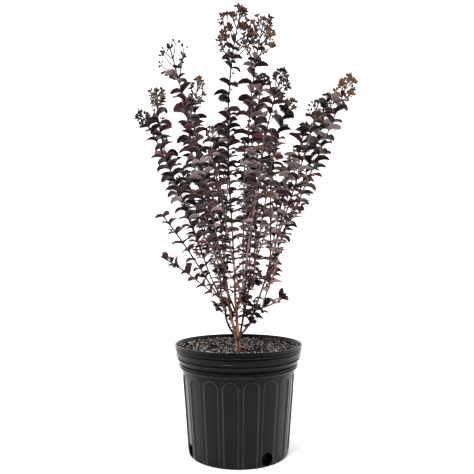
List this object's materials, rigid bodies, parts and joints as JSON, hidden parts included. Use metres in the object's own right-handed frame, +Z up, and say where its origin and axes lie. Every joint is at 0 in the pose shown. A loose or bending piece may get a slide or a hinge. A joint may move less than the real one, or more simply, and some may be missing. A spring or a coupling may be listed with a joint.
{
  "type": "potted crape myrtle",
  "caption": "Young many-stemmed flowering shrub with dark leaves in opposite pairs, budded shoot tips and a fluted plastic nursery pot.",
  "frame": {"origin": "centre of the pot's flat underside", "axes": "+Z up along the pot's axis, -Y towards the viewer of the picture, +X to the viewer's right"},
  "size_m": [0.4777, 0.4493, 0.9751],
  "materials": {
    "pot": "moulded black plastic with a soft sheen",
    "soil": "damp bark potting mix",
    "old_bark": "smooth tan bark with darker streaks",
    "young_bark": "dark red-brown bark",
    "foliage": "dark burgundy leaves with a waxy sheen"
  },
  "bodies": {
    "root": {"pot": "pot", "soil": "soil", "trunk": "old_bark", "stem_centre": "old_bark", "stem_left": "young_bark", "stem_mid": "young_bark", "stem_right": "old_bark", "stem_back": "young_bark", "bough_centre": "old_bark", "bough_left_tall": "old_bark", "bough_front": "old_bark", "bough_left_outer": "young_bark", "bough_left_inner": "young_bark", "bough_centre_right": "young_bark", "bough_right_inner": "young_bark", "bough_right": "old_bark", "bough_back_left": "young_bark", "bough_back_right": "young_bark", "mass_centre": "foliage", "mass_centre_right": "foliage", "mass_left_tall": "foliage", "mass_left_outer": "foliage", "mass_left_inner": "foliage", "mass_left_low": "foliage", "mass_right_inner": "foliage", "mass_right_middle": "foliage", "mass_right_outer": "foliage", "mass_right_side": "foliage", "mass_right_low": "foliage", "mass_front_left": "foliage", "mass_front_right": "foliage", "mass_back_left": "foliage", "mass_back_right": "foliage"}
  },
  "joints": []
}
